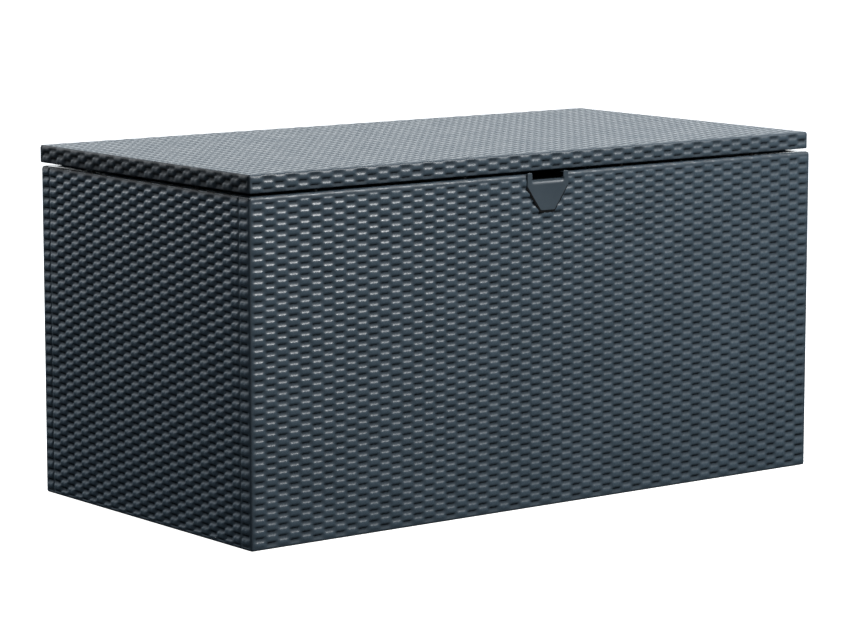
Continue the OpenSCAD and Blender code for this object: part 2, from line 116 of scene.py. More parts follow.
def ramp(tree, factor, *stops):
    """A Color Ramp from (place, hex colour) pairs."""
    node = add(tree, "ShaderNodeValToRGB", Fac=factor)
    bands = node.color_ramp.elements
    while len(bands) < len(stops):
        bands.new(0.5)
    for band, (place, colour) in zip(bands, stops):
        band.position = place
        band.color = linear(colour)
    return node


print("slate grey #3d474f in linear light:", [round(c, 3) for c in linear("#3d474f")[:3]])

# %% [markdown]
# ## Camera
# The box is seen from its front left, a little above its lid, with a long lens from several metres away.
# A long lens keeps the edges nearly parallel, as in a catalogue picture. The camera is set by where it stands
# and by two angles, with no roll and no shift.

# %% Camera
camera_place = Vector((-4.005, -5.166, 1.283))
camera_heading = math.radians(37.62)
camera_dip = math.radians(8.433)
camera_data = bpy.data.cameras.new("camera")
camera_data.sensor_width = 36.0
camera_data.lens = 145.1
camera_data.clip_end = 100.0
camera = bpy.data.objects.new("camera", camera_data)
camera.location = camera_place
camera.rotation_euler = (math.pi / 2 - camera_dip, 0.0, -camera_heading)
bpy.context.scene.collection.objects.link(camera)
bpy.context.scene.camera = camera
print("camera", round(camera_place.length, 2), "m from the box, lens", camera_data.lens, "mm")

# %% [markdown]
# ## Floor and light
# The floor is pale and wide, and lights itself, so that it stays as white as the wall behind it. What lights
# the box is a surround that is bright above the horizon and dark below it, so the underside of every float
# falls into shade. It is brightest low down behind the box, and the lid mirrors that stretch. The key lamp
# stands high at the right front and draws a bright line along the top of each front float. A weak lamp at the
# left front fills the shade, and one behind the left side picks out the floats of that side.

# %% Floor
floor_material, floor_tree, floor_shader = new_material("pale_studio_floor", Roughness=0.9)
grain = add(floor_tree, "ShaderNodeTexNoise", Scale=4.0, Detail=3.0)
floor_tint = ramp(floor_tree, grain.outputs["Fac"], (0.3, "#e9e9e8"), (0.7, "#eeeeee"))
floor_tree.links.new(floor_tint.outputs["Color"], floor_shader.inputs["Base Color"])
floor_tree.links.new(floor_tint.outputs["Color"], floor_shader.inputs["Emission Color"])
FLOOR_GLOW = 1.15
FLOOR_HALF = 60.0
FLOOR_DROP = 0.5 * MM
floor_shader.inputs["Emission Strength"].default_value = FLOOR_GLOW
floor_mesh = bpy.data.meshes.new("floor")
floor_corners = [(x * FLOOR_HALF, y * FLOOR_HALF, -FLOOR_DROP) for x, y in ((-1, -1), (1, -1), (1, 1), (-1, 1))]
floor_mesh.from_pydata(floor_corners, [], [(0, 1, 2, 3)])
floor_mesh.materials.append(floor_material)
floor = bpy.data.objects.new("floor", floor_mesh)
bpy.context.scene.collection.objects.link(floor)
floor.visible_diffuse = False
floor.visible_glossy = False

# %% Surround and lamps
TOWARDS_BACK = (0.5, 0.87, 0.0)
GLOW_IN_FRONT = 0.18
GLOW_BEHIND = 3.15
world = bpy.data.worlds.new("soft_surround")
bpy.context.scene.world = world
world.use_nodes = True
sky = world.node_tree
sky.nodes.clear()
direction = add(sky, "ShaderNodeTexCoord")
upward = add(sky, "ShaderNodeSeparateXYZ", Vector=direction.outputs["Generated"])
height_share = add(sky, "ShaderNodeMapRange", Value=upward.outputs["Z"], From_Min=-1.0, From_Max=1.0)
by_height = ramp(sky, height_share.outputs["Result"],
                 (0.0, "#101316"), (0.47, "#1b2024"), (0.52, "#dce1e5"), (1.0, "#e2e6e9"))
towards_back = add(sky, "ShaderNodeVectorMath", {"operation": "DOT_PRODUCT"}, i0=direction.outputs["Generated"],
                   i1=TOWARDS_BACK)
back_share = add(sky, "ShaderNodeMapRange", Value=towards_back.outputs["Value"], From_Min=0.25, From_Max=0.95)
by_side = ramp(sky, back_share.outputs["Result"], (0.0, "#b2c8dc"), (1.0, "#f1f0ee"))
surround = add(sky, "ShaderNodeVectorMath", {"operation": "MULTIPLY"}, i0=by_height.outputs["Color"],
               i1=by_side.outputs["Color"])
glow = add(sky, "ShaderNodeMapRange", Value=back_share.outputs["Result"], To_Min=GLOW_IN_FRONT,
           To_Max=GLOW_BEHIND)
lit = add(sky, "ShaderNodeBackground", Color=surround.outputs["Vector"], Strength=glow.outputs["Result"])
seen = add(sky, "ShaderNodeBackground", Color=linear("#ffffff"), Strength=1.0)
path = add(sky, "ShaderNodeLightPath")
mixed = add(sky, "ShaderNodeMixShader", Fac=path.outputs["Is Camera Ray"], i1=lit.outputs["Background"],
            i2=seen.outputs["Background"])
add(sky, "ShaderNodeOutputWorld", Surface=mixed.outputs["Shader"])


def lamp(name, place, aim, width, height, watts):
    """A soft area lamp at a place, turned to an aim point."""
    data = bpy.data.lights.new(name, "AREA")
    data.shape = "RECTANGLE"
    data.size = width
    data.size_y = height
    data.energy = watts
    rig = bpy.data.objects.new(name, data)
    rig.location = place
    rig.rotation_euler = (Vector(aim) - Vector(place)).to_track_quat("-Z", "Y").to_euler()
    bpy.context.scene.collection.objects.link(rig)
    return rig


middle = (cad_low + cad_high) / 2
lamp("key", (1.6, -2.8, 3.0), middle, 0.9, 0.7, 168.0)
lamp("front_fill", (-2.6, -3.4, 1.7), middle, 2.0, 1.6, 30.0)
lamp("back_left", (-1.6, 3.2, 2.4), middle, 0.8, 0.5, 105.0)
bpy.context.scene.view_settings.view_transform = "Standard"

# %% [markdown]
# ## The pressed wicker pattern
# The sheet is rolled between two engraved rollers, so it looks like flat strands woven over pairs of stakes.
# In each column of 25 mm the strands lie 20 mm apart, and in the next column they are half a step up.
# A strand is therefore high across one column and dips below its neighbours in the next one. The two stakes
# behind a column lift the upper edge of the strand in two places. All that is one height function of two
# lengths, so any sheet can be worked out from it as a whole array.

# %% Wicker height
COLUMN = 25 * MM
STEP = 20 * MM
FLOAT_HALF = 6.3 * MM
FLOAT_PEAK = -1.5 * MM
EDGE_SOFTNESS = 0.35 * MM
SHOULDER_UP = 2.2 * MM
SHOULDER_WIDTH = 2.4 * MM
CREASE_SHADOW_DOWN = 1.6 * MM
CREASE_SHADOW_WIDTH = 1.6 * MM


def float_profile(v):
    """Height of a strand across its width: highest a little below its middle, 1 - 0.8 a ^ 3 - 0.15 b ^ 2 with
    a and b the shares of the way from there to the upper and lower edge, and cut off at the edges by
    1 / (1 + e^x), with x how far v is past the edge in units of the edge's softness."""
    above = np.maximum(v - FLOAT_PEAK, 0) / (FLOAT_HALF - FLOAT_PEAK)
    below = np.maximum(FLOAT_PEAK - v, 0) / (FLOAT_HALF + FLOAT_PEAK)
    crown = 1 - 0.8 * above ** 3 - 0.15 * below ** 2
    return crown / (1 + np.exp((np.abs(v) - FLOAT_HALF) / EDGE_SOFTNESS))


def wicker(u, v):
    """Height from 0 to 1, and the painted shade of the coat. u runs across the columns from the middle
    of one, and v up from the middle of one of its floats. A strand's rise is a square wave,
    tanh(4 cos(pi u / column)), rounded at its corners, and the sheet is as high as the higher of the two
    sets of strands. The stakes lift a strand's shoulder by -cos(4 pi u / column). The painted shade is
    0.4 + 0.6 height, darker in the hollows, and falls to 0 in a painted shadow in the crease under a strand,
    which is a bell, e^-(x * x), a little below the strand's edge."""
    swing = np.cos(np.pi * u / COLUMN)
    stakes = -np.cos(4 * np.pi * u / COLUMN)
    heights, crease_shadows = [], []
    for sign, shift in ((1, 0.0), (-1, STEP / 2)):
        rise = 0.5 + 0.5 * np.tanh(4 * sign * swing)
        local = (v + shift + STEP / 2) % STEP - STEP / 2
        shoulder = np.exp(-((local - SHOULDER_UP) / SHOULDER_WIDTH) ** 2)
        heights.append(rise * float_profile(local) * (0.82 + 0.18 * stakes * shoulder))
        # Painted shadow: a dark bell just below each strand's lower edge.
        shadow_bell = np.exp(-((local + FLOAT_HALF + CREASE_SHADOW_DOWN) / CREASE_SHADOW_WIDTH) ** 2)
        crease_shadows.append(shadow_bell * np.clip((sign * swing - 0.25) / 0.35, 0, 1))
    floor_ridge = 0.06 * (1 - stakes)
    height = np.maximum(np.maximum(*heights), floor_ridge)
    return height, (0.4 + 0.6 * height) * (1 - np.maximum(*crease_shadows))


def wicker_samples(low, high, middle, offsets, pitch):
    """Places between low and high at the given offsets from every middle + k pitch."""
    k = np.arange(math.floor((low - middle) / pitch) - 1, math.ceil((high - middle) / pitch) + 2)
    places = np.sort((middle + k[:, None] * pitch + offsets[None, :]).ravel())
    gap = 0.8 * MM
    return places[(places > low + gap) & (places < high - gap)]


ACROSS = np.array([-10.5, -6.5, -2.0, 2.0, 6.5, 10.5]) * MM
UP_FINE = np.array([0.3, 2.6, 4.6, 7.0]) * MM
UP_COARSE = np.array([-2.0, 2.0, 5.0]) * MM
swatch_u, swatch_v = np.meshgrid(np.linspace(0, 2 * COLUMN, 51), np.linspace(0, STEP, 41))
swatch = wicker(swatch_u, swatch_v)[0]
print("wicker height from", round(float(swatch.min()), 2), "to", round(float(swatch.max()), 2),
      "with a mean of", round(float(swatch.mean()), 2))

# %% [markdown]
# ## Building a mesh from whole arrays
# A surface is a grid of points, and its faces are index arithmetic on that grid. The helpers below number the
# faces of a grid, close the strip between two chains of points, and hand everything to Blender at once,
# which is hundreds of times faster than adding faces one by one.

# %% Mesh helpers


def grid_faces(numbers, wrap=False):
    """Quads of a grid of vertex numbers, anticlockwise seen with rows going up and columns to the right."""
    right = np.roll(numbers, -1, axis=1) if wrap else numbers[:, 1:]
    left = numbers if wrap else numbers[:, :-1]
    return np.stack([left[:-1], right[:-1], right[1:], left[1:]], -1).reshape(-1, 4)


def zip_chains(a, b, at_a, at_b):
    """Triangles between two chains of vertices with different spacing. Each edge of chain a goes to the vertex
    of chain b nearest to its middle, and each edge of b goes to the vertex of a where that choice changes."""
    near_b = np.searchsorted((at_b[:-1] + at_b[1:]) / 2, (at_a[:-1] + at_a[1:]) / 2)
    near_a = np.searchsorted(near_b, np.arange(1, len(b)))
    return np.concatenate([np.stack([a[1:], a[:-1], b[near_b]], 1), np.stack([b[:-1], b[1:], a[near_a]], 1)])


class Sheet:
    """Collects points with their painted shade and wicker place, and faces, then becomes one mesh object."""

    def __init__(self):
        self.points, self.relief, self.place, self.faces = [], [], [], []
        self.count = 0

    def add_points(self, points, relief=1.0, place=0.0):
        """Adds points of any array shape, and returns their vertex numbers in that shape."""
        shape = points.shape[:-1]
        numbers = self.count + np.arange(np.prod(shape)).reshape(shape)
        self.points.append(points.reshape(-1, 3))
        self.relief.append(np.broadcast_to(relief, shape).ravel())
        self.place.append(np.broadcast_to(place, (*shape, 3)).reshape(-1, 3))
        self.count += numbers.size
        return numbers

    def add_faces(self, faces, smooth=True):
        """Adds an array of faces, each row one face. Rows with a doubled corner become triangles."""
        faces = np.atleast_2d(faces)
        if faces.shape[1] == 4:
            doubled = faces[:, 2] == faces[:, 3]
            if doubled.any():
                self.faces.append((faces[doubled][:, :3], smooth))
                faces = faces[~doubled]
        self.faces.append((faces, smooth))

    def add_bar(self, outline, start, end):
        """A bar with flat ends: a closed outline of 3-D points carried from one end to the other."""
        ring = np.asarray(outline, float)
        first = self.add_points(ring + start)
        last = self.add_points(ring + end)
        sides = grid_faces(np.stack([first, last]), wrap=True)
        corners = np.concatenate([ring + start, ring + end])
        local = corners[sides - first[0]]
        facing = np.cross(local[:, 1] - local[:, 0], local[:, 3] - local[:, 0])
        outward = (facing * (local.mean(1) - corners.mean(0))).sum()
        if outward < 0:
            self.add_faces(sides[:, ::-1], smooth=False)
            self.add_faces(first, smooth=False)
            self.add_faces(last[::-1], smooth=False)
        else:
            self.add_faces(sides, smooth=False)
            self.add_faces(first[::-1], smooth=False)
            self.add_faces(last, smooth=False)

    def finish(self, name, material):
        """Makes the mesh and its object, with the painted shade and wicker place as attributes."""
        mesh = bpy.data.meshes.new(name)
        points = np.concatenate(self.points)
        mesh.vertices.add(len(points))
        mesh.vertices.foreach_set("co", points.astype(np.float32).ravel())
        corners = np.concatenate([f.ravel() for f, _ in self.faces]).astype(np.int32)
        totals = np.concatenate([np.full(len(f), f.shape[1]) for f, _ in self.faces])
        smooth = np.concatenate([np.full(len(f), s) for f, s in self.faces])
        mesh.loops.add(len(corners))
        mesh.loops.foreach_set("vertex_index", corners)
        mesh.polygons.add(len(totals))
        mesh.polygons.foreach_set("loop_start", (np.cumsum(totals) - totals).astype(np.int32))
        mesh.polygons.foreach_set("use_smooth", smooth)
        mesh.update(calc_edges=True)
        relief = mesh.attributes.new("relief", "FLOAT", "POINT")
        relief.data.foreach_set("value", np.concatenate(self.relief).astype(np.float32))
        place = mesh.attributes.new("wicker_place", "FLOAT_VECTOR", "POINT")
        place.data.foreach_set("vector", np.concatenate(self.place).astype(np.float32).ravel())
        mesh.materials.append(material)
        piece = bpy.data.objects.new(name, mesh)
        bpy.context.scene.collection.objects.link(piece)
        edges = np.sort(np.stack([corners, next_corner(corners, totals)], 1), axis=1)
        used = np.unique(edges, axis=0, return_counts=True)[1]
        print(name, "has", int((totals - 2).sum()), "triangles;", int((used != 2).sum()), "open edges;",
              "closed volume", round(signed_volume(mesh) * 1e6), "cm3")
        return piece


def next_corner(corners, totals):
    """The vertex after each face corner, going round its face."""
    following = np.roll(corners, -1)
    ends = np.cumsum(totals) - 1
    following[ends] = corners[np.cumsum(totals) - totals]
    return following


def signed_volume(mesh):
    """Sum over the triangles of a . (b x c) / 6, which is positive where faces point outwards."""
    mesh.calc_loop_triangles()
    places = np.zeros(len(mesh.vertices) * 3, np.float32)
    mesh.vertices.foreach_get("co", places)
    corners = np.zeros(len(mesh.loop_triangles) * 3, np.int32)
    mesh.loop_triangles.foreach_get("vertices", corners)
    a, b, c = places.reshape(-1, 3)[corners].reshape(-1, 3, 3).transpose(1, 0, 2).astype(float)
    return float((a * np.cross(b, c)).sum() / 6)

# %% [markdown]
# ## Slate grey coated steel
# Powder coat is a baked plastic skin about 0.08 mm thick. It is a dielectric, so it keeps the paint's own
# colour and adds one soft highlight, and its skin has a fine orange peel. The mesh carries a painted shade,
# from 0 in a crease to 1 on a crown: the hollows are painted darker and the crease under each strand almost
# black, where shade falls, and there the coat is also rough and without a highlight. On the smooth inner side
# the back of the pattern shows faintly, and is drawn as a bump from the wicker place attribute.

# %% Coated steel
ORANGE_PEEL = 1.6 * MM
COAT_CLOUD = 60 * MM


def coated_steel(name, shadow_colour, flank, crown, roughness, inner_press):
    """Powder-coated steel: colour, gloss and highlight by the painted shade, with soft clouds and an orange
    peel bump.
    """
    material, tree, shader = new_material(name, IOR=1.5)
    where = add(tree, "ShaderNodeTexCoord").outputs["Object"]
    relief = add(tree, "ShaderNodeAttribute", {"attribute_name": "relief"}).outputs["Fac"]
    cloud = add(tree, "ShaderNodeTexNoise", Vector=where, Scale=1 / COAT_CLOUD, Detail=4.0)
    peel = add(tree, "ShaderNodeTexNoise", Vector=where, Scale=1 / ORANGE_PEEL, Detail=2.0)
    # Painted shade: hollows darker, and the crease under each strand almost black where its shadow falls.
    shade = ramp(tree, relief, (0.05, shadow_colour), (0.4, flank), (0.95, crown))
    cloudy = add(tree, "ShaderNodeMapRange", Value=cloud.outputs["Fac"], From_Min=0.3, From_Max=0.7,
                 To_Min=0.93, To_Max=1.07)
    tinted = add(tree, "ShaderNodeVectorMath", {"operation": "SCALE"}, i0=shade.outputs["Color"],
                 Scale=cloudy.outputs["Result"])
    gloss = add(tree, "ShaderNodeMapRange", Value=cloud.outputs["Fac"], From_Min=0.3, From_Max=0.7,
                To_Min=roughness - 0.03, To_Max=roughness + 0.04)
    dull = add(tree, "ShaderNodeMapRange", Value=relief, To_Min=0.6, To_Max=0.0)
    duller = add(tree, "ShaderNodeMath", {"operation": "ADD"}, i0=gloss.outputs["Result"],
                 i1=dull.outputs["Result"])
    sheen = add(tree, "ShaderNodeMapRange", Value=relief, From_Max=0.45, To_Min=0.02, To_Max=0.5)
    tree.links.new(sheen.outputs["Result"], shader.inputs["Specular IOR Level"])
    bump = add(tree, "ShaderNodeBump", Strength=0.25, Distance=0.08 * MM, Height=peel.outputs["Fac"])
    if inner_press:
        place = add(tree, "ShaderNodeAttribute", {"attribute_name": "wicker_place"}).outputs["Vector"]
        split = add(tree, "ShaderNodeSeparateXYZ", Vector=place)
        across = add(tree, "ShaderNodeMath", {"operation": "MULTIPLY"}, i0=split.outputs["X"], i1=math.pi)
        along = add(tree, "ShaderNodeMath", {"operation": "MULTIPLY"}, i0=split.outputs["Y"], i1=2 * math.pi)
        wave_across = add(tree, "ShaderNodeMath", {"operation": "COSINE"}, i0=across.outputs[0])
        wave_along = add(tree, "ShaderNodeMath", {"operation": "COSINE"}, i0=along.outputs[0])
        checks = add(tree, "ShaderNodeMath", {"operation": "MULTIPLY"}, i0=wave_across.outputs[0],
                     i1=wave_along.outputs[0])
        pressed = add(tree, "ShaderNodeMath", {"operation": "MULTIPLY"}, i0=checks.outputs[0],
                      i1=split.outputs["Z"])
        bump = add(tree, "ShaderNodeBump", Strength=1.0, Distance=1.0 * MM, Height=pressed.outputs[0],
                   Normal=bump.outputs["Normal"])
    wire(tree, shader, tinted.outputs["Vector"], duller.outputs[0], bump.outputs["Normal"])
    return material


# Its first colour, #07090c, is the painted shadow in the creases.
slate_coat = coated_steel("slate_powder_coated_steel", "#07090c", "#37434c", "#46545e", 0.20, True)
print("coated steel made with", len(slate_coat.node_tree.nodes), "nodes")

# %% [markdown]
# ## Path and profile of a pressed panel
# Every panel is one idea: a profile from its bottom fold to its top fold, carried along a path seen from above.
# The front and rear panels wrap round both corners and end in a seam. The side panels run from seam to seam.
# All are worked out in one frame, with the face towards -Y, and then turned to their own side.

# %% Sizes of the sheet
SHEET = 1.0 * MM
HOLLOW = -0.6 * MM
CROWN = 3.0 * MM
PLAIN = 0.9 * MM
PLAIN_SHADE = 0.6
INNER_SHADE = 0.7
# Painted shade: faces that look sideways darken over their top 12 mm, under the lid.
TOP_SHADE = (-1 * MM, 12 * MM)
PLAIN_TO_EDGE = (0.6 * MM, 2 * MM)
PLAIN_TO_FOLD = (5 * MM, 7.5 * MM)
CORNER_BEND = 4.0 * MM
SEAM_BEND = 1.5 * MM
SEAM_LEG = 6.0 * MM
TOP_BEND = 6.0 * MM
BASE_BEND = 3.0 * MM
front_low, front_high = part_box("front_panel")
rear_low, rear_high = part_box("rear_panel")
left_low, left_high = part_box("left_panel")
body_top = front_high.z
half_width = front_high.x
half_depth = -front_low.y
front_return = front_high.y - front_low.y
rear_return = rear_high.y - rear_low.y
print("returns onto the sides, mm:", round(front_return / MM, 1), round(rear_return / MM, 1))

# %% Path helpers


def soft_step(x, low, high):
    """0 below low, 1 above high, and t * t * (3 - 2 t) between them."""
    t = np.clip((x - low) / (high - low), 0, 1)
    return t * t * (3 - 2 * t)


def plan_path(corners, bends, legs):
    """A path seen from above: straight legs between corners, with a round bend at each inner corner.
    Each leg gives its sample places, the middle of a column, the height of that column's float, and whether it
    is a seam leg. A bend point is its centre + radius (cos, sin), and its direction is that of the radius."""
    parts = []
    for k, (places, middle, float_height, plain_ends, seam) in enumerate(legs):
        start, stop = np.array(corners[k]), np.array(corners[k + 1])
        length = np.linalg.norm(stop - start)
        along = (stop - start) / length
        outward = np.array([along[1], -along[0]])
        s = np.concatenate([[bends[k]], places, [length - bends[k + 1]]])
        strength = soft_step(s, *plain_ends[0]) * soft_step(length - s, *plain_ends[1])
        parts.append((start + s[:, None] * along, np.tile(outward, (len(s), 1)), s - middle,
                      np.full(len(s), float_height), strength, np.full(len(s), seam)))
        if k + 1 < len(legs):
            turned = np.array(corners[k + 2]) - stop
            turned = turned / np.linalg.norm(turned)
            centre = stop - bends[k + 1] * along + bends[k + 1] * turned
            angles = np.linspace(0, np.pi / 2, 5)[1:-1]
            radial = np.cos(angles)[:, None] * outward + np.sin(angles)[:, None] * along
            bend_seam = seam or legs[k + 1][4]
            parts.append((centre + bends[k + 1] * radial, radial, np.zeros(3), np.full(3, float_height),
                          np.zeros(3), np.full(3, bend_seam)))
    return [np.concatenate(column) for column in zip(*parts)]


def upright_profile(height, places):
    """Rows from the bottom fold to the top fold: how far in, how high, outward and upward parts of the facing
    direction, place for the pattern, its strength, and the swell of the plain sheet. The pattern starts above
    the bottom fold, weakens near the top, and stops just short of the top fold."""
    low = np.linspace(np.pi / 2, 0, 4)
    high = np.linspace(0, np.pi / 2, 6)
    inward = np.concatenate([BASE_BEND * (1 - np.cos(low)), 0 * places, TOP_BEND * (1 - np.cos(high))])
    up = np.concatenate([BASE_BEND * (1 - np.sin(low)), places, height - TOP_BEND * (1 - np.sin(high))])
    out_part = np.concatenate([np.cos(low), 0 * places + 1, np.cos(high)])
    up_part = np.concatenate([-np.sin(low), 0 * places, np.sin(high)])
    pattern = np.concatenate([BASE_BEND * (1 - low), places, height - TOP_BEND * (1 - high)])
    strength = soft_step(pattern, 4.5 * MM, 7 * MM)
    strength = strength * (0.35 + 0.65 * soft_step(height - pattern, 6 * MM, 10 * MM))
    strength = strength * soft_step(height + 2.2 * MM - pattern, 0, 1.5 * MM)
    swell = PLAIN * np.concatenate([np.cos(low) ** 0.5, 0 * places + 1, np.cos(high) ** 0.5])
    return inward, up, out_part, up_part, pattern, strength, np.nan_to_num(swell)


def inner_profile(height):
    """Inner side of the sheet: its two folds at half turns, one sheet thickness inside the outer ones."""
    low = np.linspace(np.pi / 2, 0, 3)
    high = np.linspace(0, np.pi / 2, 3)
    inward = np.concatenate([BASE_BEND - (BASE_BEND - SHEET) * np.cos(low),
                             TOP_BEND - (TOP_BEND - SHEET) * np.cos(high)])
    up = np.concatenate([BASE_BEND - (BASE_BEND - SHEET) * np.sin(low),
                         height - TOP_BEND + (TOP_BEND - SHEET) * np.sin(high)])
    return inward, up

# %% [markdown]
# ## The pressed panels
# Each panel is a closed shell: the pressed outer grid, a plain inner grid one sheet behind it, and narrow
# strips that join their edges. The stiffening flanges are bent from the same sheet, and are bars in its mesh.
# A sheet is pressed flat again where something is fixed on it, so the pattern stops behind the notch plate
# and the hinges.

# %% Panel builder
FLANGE = 20 * MM
LIP = 12 * MM
BASE_FLANGE = 15 * MM
SEAM_FLANGE = 12 * MM


def turned(points, quarter_turns):
    """Points turned about Z by quarter turns."""
    x, y, z = np.moveaxis(points, -1, 0)
    for _ in range(quarter_turns % 4):
        x, y = -y, x
    return np.stack([x, y, z], -1)


def panel_shell(sheet, path, height, quarter_turns, flat, dip):
    """The closed shell of a panel. A point of the outer side is the path point, moved in by the profile and
    then out along its facing direction by the pressing's lift. flat(x, z) is 1 where the sheet is pressed
    flat, and dip(x, z) is how far a point near the top edge is lowered, both in the panel's own frame. A
    painted shade darkens faces that look sideways towards the top, where the lid shades them."""
    spots, outward, u, float_height, strength, seam = path
    float_rows = wicker_samples(BASE_BEND, height - TOP_BEND, float_height[len(u) // 2], UP_FINE, STEP / 2)
    inward, up, out_part, up_part, pattern, row_strength, swell = upright_profile(height, float_rows)

    def lay(inward_rows, up_rows):
        reach = np.where(seam[None, :], 0.0, inward_rows[:, None])
        level = np.where(seam[None, :], np.clip(up_rows, BASE_BEND, height - TOP_BEND)[:, None],
                         up_rows[:, None])
        plan = spots[None] - outward[None] * reach[..., None]
        level = level - dip(plan[..., 0], level)
        return np.concatenate([plan, level[..., None]], -1)

    outer = lay(inward, up)
    height_here, shade = wicker(u[None, :], pattern[:, None] - float_height[None, :])
    pressed = row_strength[:, None] * strength[None, :] * (1 - flat(outer[..., 0], outer[..., 2]))
    plain_here = swell[:, None] * (1 - flat(outer[..., 0], outer[..., 2])) * np.where(seam, 0.0, 1.0)[None, :]
    lift = pressed * (HOLLOW + (CROWN - HOLLOW) * height_here) + (1 - pressed) * plain_here
    facing = np.concatenate([outward[None] * np.where(seam[None, :], 1.0, out_part[:, None])[..., None],
                             np.where(seam[None, :], 0.0, up_part[:, None])[..., None]], -1)
    outer = outer + facing * lift[..., None]
    relief = pressed * shade + (1 - pressed) * PLAIN_SHADE
    # Painted shade: faces that look sideways darken towards the top, where the lid shades them.
    sideways = (float_height == SIDE_FLOAT)[None, :]
    relief = relief * np.where(sideways, soft_step(height - pattern, *TOP_SHADE)[:, None], 1.0)
    a = sheet.add_points(turned(outer, quarter_turns), relief)
    inner = lay(*inner_profile(height))
    inner[..., :2] -= np.where(seam[None, :, None], outward[None] * SHEET, 0.0)
    place = np.stack(np.broadcast_arrays(u[None, :] / COLUMN, (inner[..., 2] - float_height[None, :]) / STEP,
                                         np.where(seam, 0.0, 1.0)[None, :]), -1)
    b = sheet.add_points(turned(inner, quarter_turns), INNER_SHADE, place)
    sheet.add_faces(grid_faces(a))
    sheet.add_faces(grid_faces(b)[:, ::-1])
    sheet.add_faces(grid_faces(np.stack([a[-1], b[-1]])))
    sheet.add_faces(grid_faces(np.stack([b[0], a[0]])))
    rows_a, rows_b = np.linspace(0, 1, len(a)), np.linspace(0, 1, len(b))
    sheet.add_faces(zip_chains(a[:, -1], b[:, -1], rows_a, rows_b))
    sheet.add_faces(zip_chains(a[:, 0], b[:, 0], rows_a, rows_b)[:, ::-1])


def flange_outline(depth, lip, top):
    """Section of a flange, in (how far in, up): a flat of one sheet, and a lip bent down at its end."""
    if not lip:
        return [(BASE_BEND - SHEET / 2, 0), (depth, 0), (depth, SHEET), (BASE_BEND - SHEET / 2, SHEET)]
    bend = 1.5 * MM
    return [(TOP_BEND - SHEET / 2, top), (depth - bend, top), (depth - 0.3 * bend, top - 0.3 * bend),
            (depth, top - bend), (depth, top - lip), (depth - SHEET, top - lip),
            (depth - SHEET, top - bend), (depth - bend, top - SHEET), (TOP_BEND - SHEET / 2, top - SHEET)]


def flange_bar(sheet, outline, face, start, stop, quarter_turns):
    """A flange along the face from start to stop."""
    ring = np.array([(0, -face + inward, up) for inward, up in outline])
    move = turned(np.array([(start, 0, 0), (stop, 0, 0)]), quarter_turns)
    sheet.add_bar(turned(ring, quarter_turns), move[0], move[1])


def block(sheet, low, high, quarter_turns):
    """A flat piece of sheet between two corners."""
    (x0, y0, z0), (x1, y1, z1) = low, high
    ring = np.array([(x0, y0, z0), (x1, y0, z0), (x1, y1, z0), (x0, y1, z0)])
    sheet.add_bar(turned(ring, quarter_turns), np.zeros(3), np.array([0, 0, z1 - z0]))


def nowhere(x, z):
    """Nothing is flattened or lowered."""
    return np.zeros_like(x)


def panel_piece(sheet, name):
    """Makes the piece that stands in for a packed panel of the box."""
    piece = sheet.finish("pressed_" + name, slate_coat)
    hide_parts(name)
    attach(piece, "box")


print("flange", round(FLANGE / MM), "mm with a lip of", round(LIP / MM), "mm")

# %% Front and rear panels
FRONT_FLOAT = 609.5 * MM
SIDE_FLOAT = 614.5 * MM
base_rail_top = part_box("base_rail_front")[1].z
top_rail_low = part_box("top_rail_front")[0].z


def wrapped_panel(name, ret, quarter_turns, flat, dip, notch):
    """A panel that wraps round both corners, with flanges along its top and bottom and at its two seams."""
    w, f = half_width, half_depth
    back = -f + ret
    corners = [(-w + SEAM_LEG, back), (-w, back), (-w, -f), (w, -f), (w, back), (w - SEAM_LEG, back)]
    bends = [0.0, SEAM_BEND, CORNER_BEND, CORNER_BEND, SEAM_BEND, 0.0]
    mid = (ret - CORNER_BEND) / 2
    none = np.array([])
    edge, fold = PLAIN_TO_EDGE, PLAIN_TO_FOLD
    side_places = wicker_samples(SEAM_BEND, ret - CORNER_BEND, mid, ACROSS, COLUMN)
    face_places = wicker_samples(CORNER_BEND, 2 * w - CORNER_BEND, w, ACROSS, COLUMN)
    if notch:
        jump = np.array([-notch - 0.2 * MM, -notch + 1 * MM, notch - 1 * MM, notch + 0.2 * MM]) + w
        near = np.abs(face_places[:, None] - jump[None, :]).min(1) < 0.9 * MM
        face_places = np.sort(np.concatenate([face_places[~near], jump]))
    back_places = ret - side_places[::-1]
    legs = [(none, 0.0, SIDE_FLOAT, (edge, edge), True),
            (side_places, mid, SIDE_FLOAT, (edge, fold), False),
            (face_places, w, FRONT_FLOAT, (fold, fold), False),
            (back_places, ret - mid, SIDE_FLOAT, (fold, edge), False),
            (none, 0.0, SIDE_FLOAT, (edge, edge), True)]
    sheet = Sheet()
    panel_shell(sheet, plan_path(corners, bends, legs), body_top, quarter_turns, flat, dip)
    lipped = flange_outline(FLANGE, LIP, body_top)
    spans = [(-w + FLANGE, -notch), (notch, w - FLANGE)] if notch else [(-w + FLANGE, w - FLANGE)]
    for start, stop in spans:
        flange_bar(sheet, lipped, f, start, stop, quarter_turns)
    flange_bar(sheet, flange_outline(BASE_FLANGE, 0, 0), f, -w + BASE_BEND, w - BASE_BEND, quarter_turns)
    for x0, x1 in ((-w + TOP_BEND - SHEET / 2, -w + FLANGE), (w - FLANGE, w - TOP_BEND + SHEET / 2)):
        block(sheet, (x0, -f + TOP_BEND - SHEET / 2, body_top - SHEET), (x1, back, body_top), quarter_turns)
    for x0, x1 in ((-w + SHEET, -w + SHEET + SEAM_FLANGE), (w - SHEET - SEAM_FLANGE, w - SHEET)):
        block(sheet, (x0, back - SHEET, base_rail_top), (x1, back, top_rail_low), quarter_turns)
    panel_piece(sheet, name)


